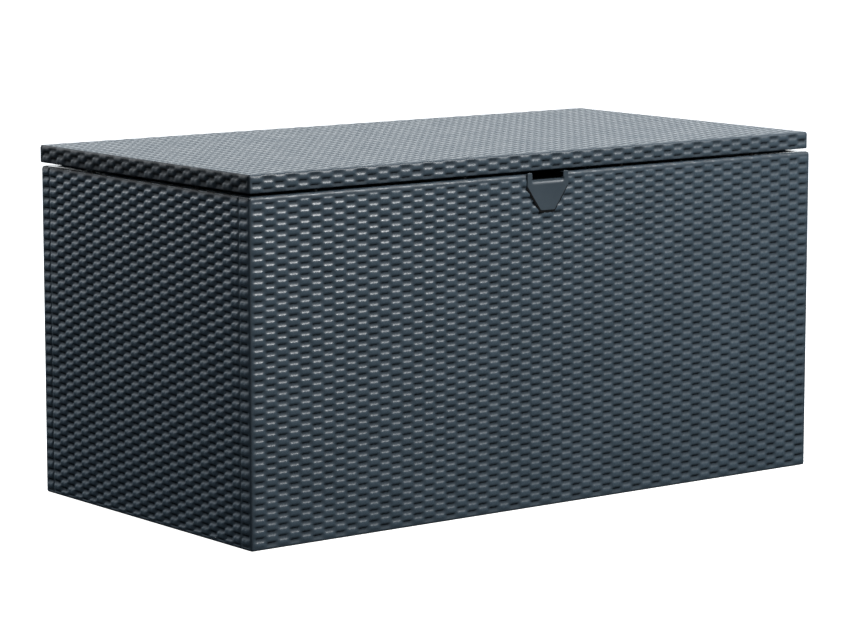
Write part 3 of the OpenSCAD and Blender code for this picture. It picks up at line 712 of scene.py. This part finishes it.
plate_low, plate_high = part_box("finger_notch_plate")
plate_half = plate_high.x
NOTCH_WALL = 2 * MM
NOTCH_DEPTH = 11 * MM
EAR = 12 * MM
notch_half = plate_half - EAR
DIP_STRETCH = 40 * MM
PLATE_SHOULDER = 22 * MM
PLATE_FOOT_HALF = 16.5 * MM


def behind_plate(x, z):
    """1 behind the notch plate: its outline narrows in a straight line from the shoulders to the foot."""
    shoulder, foot = body_top - PLATE_SHOULDER, plate_low.z
    down = np.clip((shoulder - z) / (shoulder - foot), 0, 1)
    half = plate_half + (PLATE_FOOT_HALF - plate_half) * down
    inside = soft_step(half + 1.5 * MM - np.abs(x), 0, 1.5 * MM)
    return inside * soft_step(z, foot - 3 * MM, foot - 1.5 * MM)


def notch_dip(x, z):
    """How far the top edge is lowered inside the notch. The rows of the last stretch move closer together."""
    inside = (np.abs(x) < notch_half + NOTCH_WALL - 0.5 * MM).astype(float)
    share = np.clip((z - (body_top - DIP_STRETCH)) / DIP_STRETCH, 0, 1)
    return inside * share * (NOTCH_DEPTH + NOTCH_WALL)


HINGES = ("left", "middle", "right")
leaf_boxes = [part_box(f"hinge_{side}_box_leaf") for side in HINGES]


def behind_leaves(x, z):
    """1 behind the three hinge leaves. The rear panel is made with its face to -Y, so x is turned round."""
    flat = np.zeros_like(x)
    for low, high in leaf_boxes:
        across = soft_step((high.x - low.x) / 2 + 2.5 * MM - np.abs(-x - (high.x + low.x) / 2), 0, 1.5 * MM)
        flat = np.maximum(flat, across * soft_step(z, low.z - 2.5 * MM, low.z - 1 * MM))
    return flat


wrapped_panel("front_panel", front_return, 0, behind_plate, notch_dip, notch_half + NOTCH_WALL)
wrapped_panel("rear_panel", rear_return, 2, behind_leaves, nowhere, 0)

# %% Side panels


def side_panel(name, quarter_turns, start, stop):
    """A panel between two seams: start and stop are its ends along its own face."""
    f = half_width
    corners = [(start, -f + SEAM_LEG), (start, -f), (stop, -f), (stop, -f + SEAM_LEG)]
    length = stop - start
    none = np.array([])
    edge = PLAIN_TO_EDGE
    places = wicker_samples(SEAM_BEND, length - SEAM_BEND, COLUMN / 2, ACROSS, COLUMN)
    legs = [(none, 0.0, SIDE_FLOAT, (edge, edge), True), (places, COLUMN / 2, SIDE_FLOAT, (edge, edge), False),
            (none, 0.0, SIDE_FLOAT, (edge, edge), True)]
    sheet = Sheet()
    panel_shell(sheet, plan_path(corners, [0.0, SEAM_BEND, SEAM_BEND, 0.0], legs), body_top, quarter_turns,
                nowhere, nowhere)
    flange_bar(sheet, flange_outline(FLANGE, LIP, body_top), f, start, stop, quarter_turns)
    flange_bar(sheet, flange_outline(BASE_FLANGE, 0, 0), f, start, stop, quarter_turns)
    for x0, x1 in ((start, start + SHEET), (stop - SHEET, stop)):
        block(sheet, (x0, -f + SHEET, base_rail_top), (x1, -f + SHEET + SEAM_FLANGE, top_rail_low),
              quarter_turns)
    panel_piece(sheet, name)


side_panel("right_panel", 1, left_low.y, left_high.y)
side_panel("left_panel", 3, -left_high.y, -left_low.y)

# %% [markdown]
# ## The lid
# The lid is one sheet pressed with the same pattern, folded down on all four sides. The floats run along the
# long side on the top and on the front and rear rims, and lie flat along the side rims too. The top is a grid,
# the rim is a closed loop of rows, and the loop's first row is the outline of the grid itself, so they share
# their vertices. At a corner the fold is a piece of a ball, whose pole is the corner of the grid.

# %% Lid sizes
lid_low, lid_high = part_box("lid_skin")
LID_BEND = 4 * MM
HEM_BEND = 2 * MM
HEM_DEPTH = 11 * MM
LID_TOP_PRESS = 0.5
# Painted shade: the lid's side rims are painted much darker than its front and rear rims.
LONG_RIM_SHADE = 0.88
SIDE_RIM_SHADE = 0.35
LID_FRONT_FLOAT = 655.3 * MM
LID_SIDE_FLOAT = 658.6 * MM
hem_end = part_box("lid_rail_rear")[0].y
print("lid", [round((b - a) / MM) for a, b in zip(lid_low, lid_high)], "mm, hem", round(HEM_DEPTH / MM), "mm")

# %% Lid builder


def lid_relief(along, up, float_height, strength):
    """Painted shade of the coat and lift of the pressing at a place on the lid, with the wicker pressed at
    this strength.
    """
    height, shade = wicker(along, up - float_height)
    return shade * strength + PLAIN_SHADE * (1 - strength), strength * (HOLLOW + (CROWN - HOLLOW) * height)


def lid_top(sheet, xs, ys):
    """Top grid: rows along Y and columns along X. The pattern fades out at the side folds and at the rear one,
    and gets a little weaker towards the front one."""
    x, y = np.meshgrid(xs, ys)
    strength = soft_step(lid_high.x - LID_BEND - np.abs(x), -0.5 * MM, 3 * MM)
    strength = strength * soft_step(lid_high.y - y, LID_BEND - 0.5 * MM, LID_BEND + 3 * MM)
    strength = strength * LID_TOP_PRESS * (0.7 + 0.3 * soft_step(y - lid_low.y, 6 * MM, 16 * MM))
    relief, lift = lid_relief(x, lid_high.z + (y - lid_low.y), LID_FRONT_FLOAT, strength)
    lift = lift + (1 - strength) * PLAIN
    return sheet.add_points(np.stack([x, y, lid_high.z + lift], -1), relief)


def lid_loop(xs, ys):
    """Spots of the rim's top row going round anticlockwise, their facing directions seen from above, the number
    of each one's corner or 0 on a straight side, and the places in the top grid that they share."""
    nx, ny = len(xs), len(ys)
    col = np.concatenate([np.arange(nx), np.full(3, nx - 1), np.full(ny, nx - 1), np.full(3, nx - 1),
                          np.arange(nx)[::-1], np.zeros(3, int), np.zeros(ny, int), np.zeros(3, int)])
    row = np.concatenate([np.zeros(nx, int), np.zeros(3, int), np.arange(ny), np.full(3, ny - 1),
                          np.full(nx, ny - 1), np.full(3, ny - 1), np.arange(ny)[::-1], np.zeros(3, int)])
    quarter = np.pi / 2
    turns = []
    for k, count in enumerate((nx, ny, nx, ny)):
        turns.append(np.full(count, (k - 1) * quarter))
        turns.append((k - 1) * quarter + np.linspace(0, quarter, 5)[1:-1])
    angle = np.concatenate(turns)
    facing = np.stack([np.cos(angle), np.sin(angle)], -1)
    on_side = np.concatenate([np.full(n + 3, k) for k, n in enumerate((nx, ny, nx, ny))])
    return col, row, facing, on_side


def lid_skin():
    """The closed lid sheet: top grid, rim rows down to the hem, the hem, and the plain inner side."""
    sheet = Sheet()
    bend, top = LID_BEND, lid_high.z
    xs = wicker_samples(lid_low.x + bend, lid_high.x - bend, 0.0, ACROSS, COLUMN)
    first_float = lid_low.y + (LID_FRONT_FLOAT - top)
    ys = wicker_samples(lid_low.y + bend, lid_high.y - bend, first_float, UP_COARSE, STEP / 2)
    xs = np.concatenate([[lid_low.x + bend], xs, [lid_high.x - bend]])
    ys = np.concatenate([[lid_low.y + bend], ys, [lid_high.y - bend]])
    grid = lid_top(sheet, xs, ys)
    sheet.add_faces(grid_faces(grid))
    col, row, facing, on_side = lid_loop(xs, ys)
    pole = np.stack([xs[col], ys[row]], -1)

    fold = np.linspace(0, np.pi / 2, 6)[1:]
    hem = np.linspace(0, np.pi / 2, 4)[1:]
    rim = wicker_samples(lid_low.z + HEM_BEND, top - bend, LID_FRONT_FLOAT, UP_FINE, STEP / 2)[::-1]
    zeros = np.zeros_like(rim)
    reach = np.concatenate([bend * (1 - np.sin(fold)), zeros, [0], HEM_BEND * (1 - np.cos(hem)), [HEM_DEPTH]])
    up = np.concatenate([top - bend * (1 - np.cos(fold)), rim, [lid_low.z + HEM_BEND],
                         lid_low.z + HEM_BEND * (1 - np.sin(hem)), [lid_low.z]])
    out_part = np.concatenate([np.sin(fold), zeros + 1, [1], np.cos(hem), [0]])
    up_part = np.concatenate([np.cos(fold), zeros, [0], -np.sin(hem), [-1]])
    pattern = np.concatenate([top - bend + bend * (np.pi / 2 - fold), rim, [lid_low.z + HEM_BEND],
                              np.full(len(hem) + 1, lid_low.z)])
    swell = PLAIN * np.concatenate([np.ones(len(fold) + len(rim) + 1), np.cos(hem) ** 2, [0]])
    no_hem = (on_side == 2) | (pole[:, 1] > hem_end - 3 * MM)
    hem_here = np.where(no_hem, SHEET * 0.95, HEM_DEPTH)

    def lay(reach_rows, up_rows, cap):
        inward = np.minimum(reach_rows[:, None], cap[None, :])
        plan = pole[None] + facing[None] * (bend - inward)[..., None]
        return np.concatenate([plan, np.broadcast_to(up_rows[:, None, None], (*inward.shape, 1))], -1)

    outer = lay(reach, up, hem_here)
    lengthwise = (on_side % 2 == 0)
    along = np.where(lengthwise, pole[:, 0], pole[:, 1] - (lid_low.y + bend + COLUMN / 2))
    float_height = np.where(lengthwise, LID_FRONT_FLOAT, LID_SIDE_FLOAT)
    corner_gap = np.where(lengthwise, lid_high.x - bend - np.abs(pole[:, 0]),
                          np.minimum(pole[:, 1] - lid_low.y, lid_high.y - pole[:, 1]) - bend)
    strength = soft_step(corner_gap, -0.5 * MM, 3 * MM)[None, :] * soft_step(
        pattern, lid_low.z + 1.5 * MM, lid_low.z + 3.5 * MM)[:, None]
    side_fade = soft_step(top + 1 * MM - pattern, 0, 2.5 * MM)
    strength = strength * np.where(on_side[None, :] == 0, 1.0, side_fade[:, None])
    strength = strength * (0.3 + 0.7 * soft_step(top - pattern, 2 * MM, 7 * MM))[:, None]
    at_leaf = np.zeros(len(pole), bool)
    for low, high in (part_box(f"hinge_{side}_lid_leaf") for side in HINGES):
        at_leaf |= (on_side == 2) & (pole[:, 0] > low.x - 2 * MM) & (pole[:, 0] < high.x + 2 * MM)
    strength = strength * np.where(at_leaf, 0.0, 1.0)[None, :]
    swell = swell[:, None] * np.where(at_leaf, 0.05, 1.0)[None, :]
    relief, lift = lid_relief(along[None, :], pattern[:, None], float_height[None, :], strength)
    # Painted shade: the side rims are painted much darker than the front and rear rims.
    relief = relief * np.where(lengthwise, LONG_RIM_SHADE, SIDE_RIM_SHADE)[None, :]
    lift = lift + (1 - strength) * swell
    towards = np.concatenate([facing[None] * out_part[:, None, None],
                              np.broadcast_to(up_part[:, None, None], (len(reach), len(col), 1))], -1)
    loop = sheet.add_points(outer + towards * lift[..., None], relief)
    rows = np.concatenate([grid[row, col][None], loop])
    sheet.add_faces(grid_faces(rows, wrap=True)[:, ::-1])

    inner_reach = np.array([HEM_DEPTH, SHEET, SHEET])
    inner_up = np.array([lid_low.z + SHEET, lid_low.z + SHEET, top - SHEET])
    inner = sheet.add_points(lay(inner_reach, inner_up, np.maximum(hem_here, SHEET)), INNER_SHADE)
    back = grid_faces(np.concatenate([loop[-1:], inner]), wrap=True)
    sheet.add_faces(back[:, ::-1])
    cover = lay(inner_reach[-1:], inner_up[-1:], np.full(len(pole), SHEET))[0]
    place = np.stack([cover[:, 0] / COLUMN, (cover[:, 1] - first_float) / STEP, np.ones(len(cover))], -1)
    panel = sheet.add_points(cover, INNER_SHADE, place)
    sheet.add_faces(grid_faces(np.stack([inner[-1], panel]), wrap=True)[:, ::-1])
    sheet.add_faces(panel[None, ::-1], smooth=False)
    return sheet.finish("pressed_lid", slate_coat)


lid = lid_skin()
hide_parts("lid_skin")
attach(lid, "lid")

# %% [markdown]
# ## The finger notch plate
# A smooth plate hooks over the edge of the front panel, where fingers go in to lift the lid. Its outline has
# two ears and narrows to a foot, and the edge between the ears rolls back into the throat in a wide round. The
# whole plate is one loop of points seen from the front. Each point knows how wide its edge is rounded and how
# deep it goes back, so the sharp outer edge and the wide lip are the same surface.

# %% Notch plate
plate_front, throat_back = plate_low.y, plate_high.y
EAR_RISE = plate_high.z - body_top
LIP_ROUND = 9 * MM
EDGE_ROUND = 1.0 * MM
CORNER_RADII = np.array([1.5, 3, 2.9, 2.9, 4]) * MM
TINY = 0.01 * MM


def rounded_loop(corners, radii, steps):
    """A closed loop with round corners: each is an arc about the point that lies one radius from both sides.
    Returns the points and the outward direction at each, going round anticlockwise."""
    corners, radii = np.array(corners, float), np.array(radii)
    before = corners - np.roll(corners, 1, axis=0)
    after = np.roll(corners, -1, axis=0) - corners
    before /= np.linalg.norm(before, axis=1)[:, None]
    after /= np.linalg.norm(after, axis=1)[:, None]
    right = np.stack([before[:, 1], -before[:, 0]], -1)
    bend = np.arctan2(before[:, 0] * after[:, 1] - before[:, 1] * after[:, 0], (before * after).sum(1))
    side = np.sign(bend)
    start = corners - before * (radii * np.tan(np.abs(bend) / 2))[:, None]
    centre = start - right * (side * radii)[:, None]
    angle = bend[:, None] * np.linspace(0, 1, steps)[None, :]
    facing = (right[:, None] * np.cos(angle)[..., None] + before[:, None] * np.sin(angle)[..., None])
    points = centre[:, None] + facing * (side * radii)[:, None, None]
    return points.reshape(-1, 2), facing.reshape(-1, 2)


def notch_plate():
    """Rows over the loop: the front edge of the rounding, a quarter circle, the side, the back of the throat
    or of the plate, the outer side of the throat wall, and the back of the plate."""
    ear, half, foot = EAR_RISE, plate_half, plate_low.z - body_top
    shoulder, inner, depth = -PLATE_SHOULDER, notch_half, -NOTCH_DEPTH
    right = [(PLATE_FOOT_HALF, foot), (half, shoulder), (half, ear), (inner, ear), (inner, depth)]
    loop, facing = rounded_loop(right + [(-x, z) for x, z in right[::-1]],
                                np.concatenate([CORNER_RADII, CORNER_RADII[::-1]]), 9)
    x, z = loop.T
    in_throat = (np.abs(x) < inner + TINY) & (z > depth - TINY) & (z < 10 * TINY)
    rounding = np.where(in_throat, EDGE_ROUND + (LIP_ROUND - EDGE_ROUND) * soft_step(-z, 7 * MM, 11 * MM),
                        EDGE_ROUND)
    back = np.where(in_throat, throat_back, -half_depth)
    quarter = np.linspace(np.pi / 2, 0, 7)
    inward = np.concatenate([rounding * (1 - np.cos(quarter))[:, None], 0 * rounding[None], 0 * rounding[None],
                             np.where(in_throat, NOTCH_WALL, 0.4 * MM)[None],
                             np.where(in_throat, NOTCH_WALL, 0.8 * MM)[None]])
    side = plate_front + rounding * (1 - np.sin(quarter))[:, None]
    y = np.concatenate([side, side[-1:] + 0.4 * MM, back[None], back[None], np.full((1, len(x)), -half_depth)])
    plan = loop[None] - facing[None] * inward[..., None]
    sheet = Sheet()
    # Painted shadow: the rounding keeps the crown colour, and every row behind it, the throat included, is
    # painted near-black.
    shade = np.where(np.arange(len(y)) <= len(quarter) - 1, 1.0, 0.0)[:, None]
    numbers = sheet.add_points(np.stack([plan[..., 0], y, body_top + plan[..., 1]], -1), shade)
    sheet.add_faces(grid_faces(numbers, wrap=True)[:, ::-1])
    sheet.add_faces(numbers[0][None], smooth=False)
    sheet.add_faces(numbers[-1][None, ::-1], smooth=False)
    return sheet


# Its first colour, #050607, is the near-black painted shadow in the throat.
satin_coat = coated_steel("slate_satin_coated_plate", "#050607", "#3b454d", "#3f4a52", 0.40, False)
plate = notch_plate().finish("rolled_notch_plate", satin_coat)
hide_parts("finger_notch_plate")
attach(plate, "box")

# %% [markdown]
# ## The painted shadow behind the plate
# The plate stands off the pressed sheet. A thin black sheet behind it, shifted down and to the left, is a
# painted shadow: it shows as a dark line along the two slanting edges and under the foot, a little wider at
# the left and below.

# %% Black rubber and the painted shadow


def black_rubber():
    """Moulded black rubber: almost black, matt, with a fine dusty grain."""
    material, tree, shader = new_material("moulded_black_rubber", IOR=1.52, Roughness=0.85,
                                          Specular_IOR_Level=0.2)
    where = add(tree, "ShaderNodeTexCoord").outputs["Object"]
    dust = add(tree, "ShaderNodeTexNoise", Vector=where, Scale=1 / (8 * MM), Detail=5.0)
    tint = ramp(tree, dust.outputs["Fac"], (0.35, "#030304"), (0.7, "#08090a"))
    tree.links.new(tint.outputs["Color"], shader.inputs["Base Color"])
    fine = add(tree, "ShaderNodeTexNoise", Vector=where, Scale=1 / (0.8 * MM))
    bump = add(tree, "ShaderNodeBump", Strength=0.3, Distance=0.05 * MM, Height=fine.outputs["Fac"])
    tree.links.new(bump.outputs["Normal"], shader.inputs["Normal"])
    return material


rubber = black_rubber()
# Painted shadow: a black sheet in the plate's outline, shifted down and to the left, peeks out as a dark line.
shadow_shift = np.array([-1.2, -4.2]) * MM
shadow_depth = plate_front + half_depth + 0.35 * MM
shoulder, foot = body_top - PLATE_SHOULDER, plate_low.z
shadow_sheet = Sheet()
lower = np.array([(-PLATE_FOOT_HALF, foot), (PLATE_FOOT_HALF, foot), (plate_half, shoulder),
                  (-plate_half, shoulder)]) + shadow_shift
upper = np.array([(plate_half - 2 * MM, shoulder + 2 * MM), (-plate_half + 1 * MM, shoulder + 2 * MM)])
shadow_outline = np.concatenate([lower[:3], upper, lower[3:]])
shadow_ring = np.stack([shadow_outline[:, 0], np.full(6, -half_depth), shadow_outline[:, 1]], -1)
shadow_sheet.add_bar(shadow_ring, np.zeros(3), np.array([0, shadow_depth, 0]))
plate_painted_shadow = shadow_sheet.finish("plate_painted_shadow", rubber)
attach(plate_painted_shadow, "box")

# %% [markdown]
# ## Finishes of the parts that stay as packed
# Rails, posts, floor and braces are hot-dip galvanised: zinc freezes on them in crystals of 5 to 20 mm, which
# show as patches of slightly different grey and gloss. Screws, pins and ball studs are zinc plated, much finer.
# The struts have a black painted tube and a hard chromed rod, and their sockets are moulded nylon.

# %% Galvanised, plated, painted and moulded finishes


def galvanised_steel():
    """Hot-dip galvanised: a metal with crystal patches that differ in tint and gloss, and a soft white haze."""
    material, tree, shader = new_material("hot_dip_galvanised_steel", Metallic=0.85)
    where = add(tree, "ShaderNodeTexCoord").outputs["Object"]
    crystals = add(tree, "ShaderNodeTexVoronoi", Vector=where, Scale=1 / (9 * MM))
    patch = add(tree, "ShaderNodeSeparateColor", Color=crystals.outputs["Color"])
    tint = ramp(tree, patch.outputs["Red"], (0.0, "#8d9396"), (0.6, "#a4a9ac"), (1.0, "#bcc0c2"))
    haze = add(tree, "ShaderNodeTexNoise", Vector=where, Scale=1 / (45 * MM), Detail=5.0)
    hazy = add(tree, "ShaderNodeMix", {"data_type": "RGBA"}, i0=haze.outputs["Fac"], i6=tint.outputs["Color"],
               i7=linear("#b3b6b7"))
    gloss = add(tree, "ShaderNodeMapRange", Value=patch.outputs["Green"], To_Min=0.34, To_Max=0.52)
    bump = add(tree, "ShaderNodeBump", Strength=0.15, Distance=0.05 * MM, Height=crystals.outputs["Distance"])
    wire(tree, shader, hazy.outputs[2], gloss.outputs["Result"], bump.outputs["Normal"])
    return material


def fine_metal(name, dark, light, grain, low_gloss, high_gloss, depth):
    """A plated or chromed metal: two close tints and an uneven gloss, both by fine noise of one grain size."""
    material, tree, shader = new_material(name, Metallic=1.0)
    where = add(tree, "ShaderNodeTexCoord").outputs["Object"]
    noise = add(tree, "ShaderNodeTexNoise", Vector=where, Scale=1 / grain, Detail=4.0)
    tint = ramp(tree, noise.outputs["Fac"], (0.3, dark), (0.7, light))
    gloss = add(tree, "ShaderNodeMapRange", Value=noise.outputs["Fac"], To_Min=low_gloss, To_Max=high_gloss)
    bump = add(tree, "ShaderNodeBump", Strength=0.2, Distance=depth, Height=noise.outputs["Fac"])
    wire(tree, shader, tint.outputs["Color"], gloss.outputs["Result"], bump.outputs["Normal"])
    return material


def moulded(name, dark, light, low_gloss, high_gloss, texture):
    """Paint or moulded plastic: a dielectric with two close tints, an uneven gloss and a fine skin texture."""
    material, tree, shader = new_material(name, IOR=1.5)
    where = add(tree, "ShaderNodeTexCoord").outputs["Object"]
    cloud = add(tree, "ShaderNodeTexNoise", Vector=where, Scale=1 / (25 * MM), Detail=3.0)
    tint = ramp(tree, cloud.outputs["Fac"], (0.3, dark), (0.7, light))
    gloss = add(tree, "ShaderNodeMapRange", Value=cloud.outputs["Fac"], To_Min=low_gloss, To_Max=high_gloss)
    skin = add(tree, "ShaderNodeTexNoise", Vector=where, Scale=1 / texture, Detail=2.0)
    bump = add(tree, "ShaderNodeBump", Strength=0.25, Distance=0.04 * MM, Height=skin.outputs["Fac"])
    wire(tree, shader, tint.outputs["Color"], gloss.outputs["Result"], bump.outputs["Normal"])
    return material


finishes = {
    "hinge_steel": moulded("slate_coated_hinge_steel", "#2f383f", "#39434b", 0.38, 0.5, 1.6 * MM),
    "galvanised_steel": galvanised_steel(),
    "zinc_plated_steel": fine_metal("zinc_plated_steel", "#a7a9a4", "#c3c4bd", 3 * MM, 0.24, 0.38, 0.01 * MM),
    "strut_tube_paint": moulded("black_painted_strut_tube", "#0b0c0d", "#15171a", 0.22, 0.34, 2.5 * MM),
    "strut_rod_chrome": fine_metal("hard_chromed_rod", "#c6c9cc", "#d4d7da", 6 * MM, 0.06, 0.14, 0.004 * MM),
    "black_nylon": moulded("moulded_black_nylon", "#101113", "#1b1d1f", 0.42, 0.58, 0.7 * MM),
    "bumper_rubber": rubber,
}
finished = {slot: 0 for slot in finishes}
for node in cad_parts.values():
    for material_slot in node.material_slots:
        slot = material_slot.material.name.split(".")[0]
        if slot in finishes:
            material_slot.material = finishes[slot]
            finished[slot] += 1
print("packed pieces by finish:", finished)
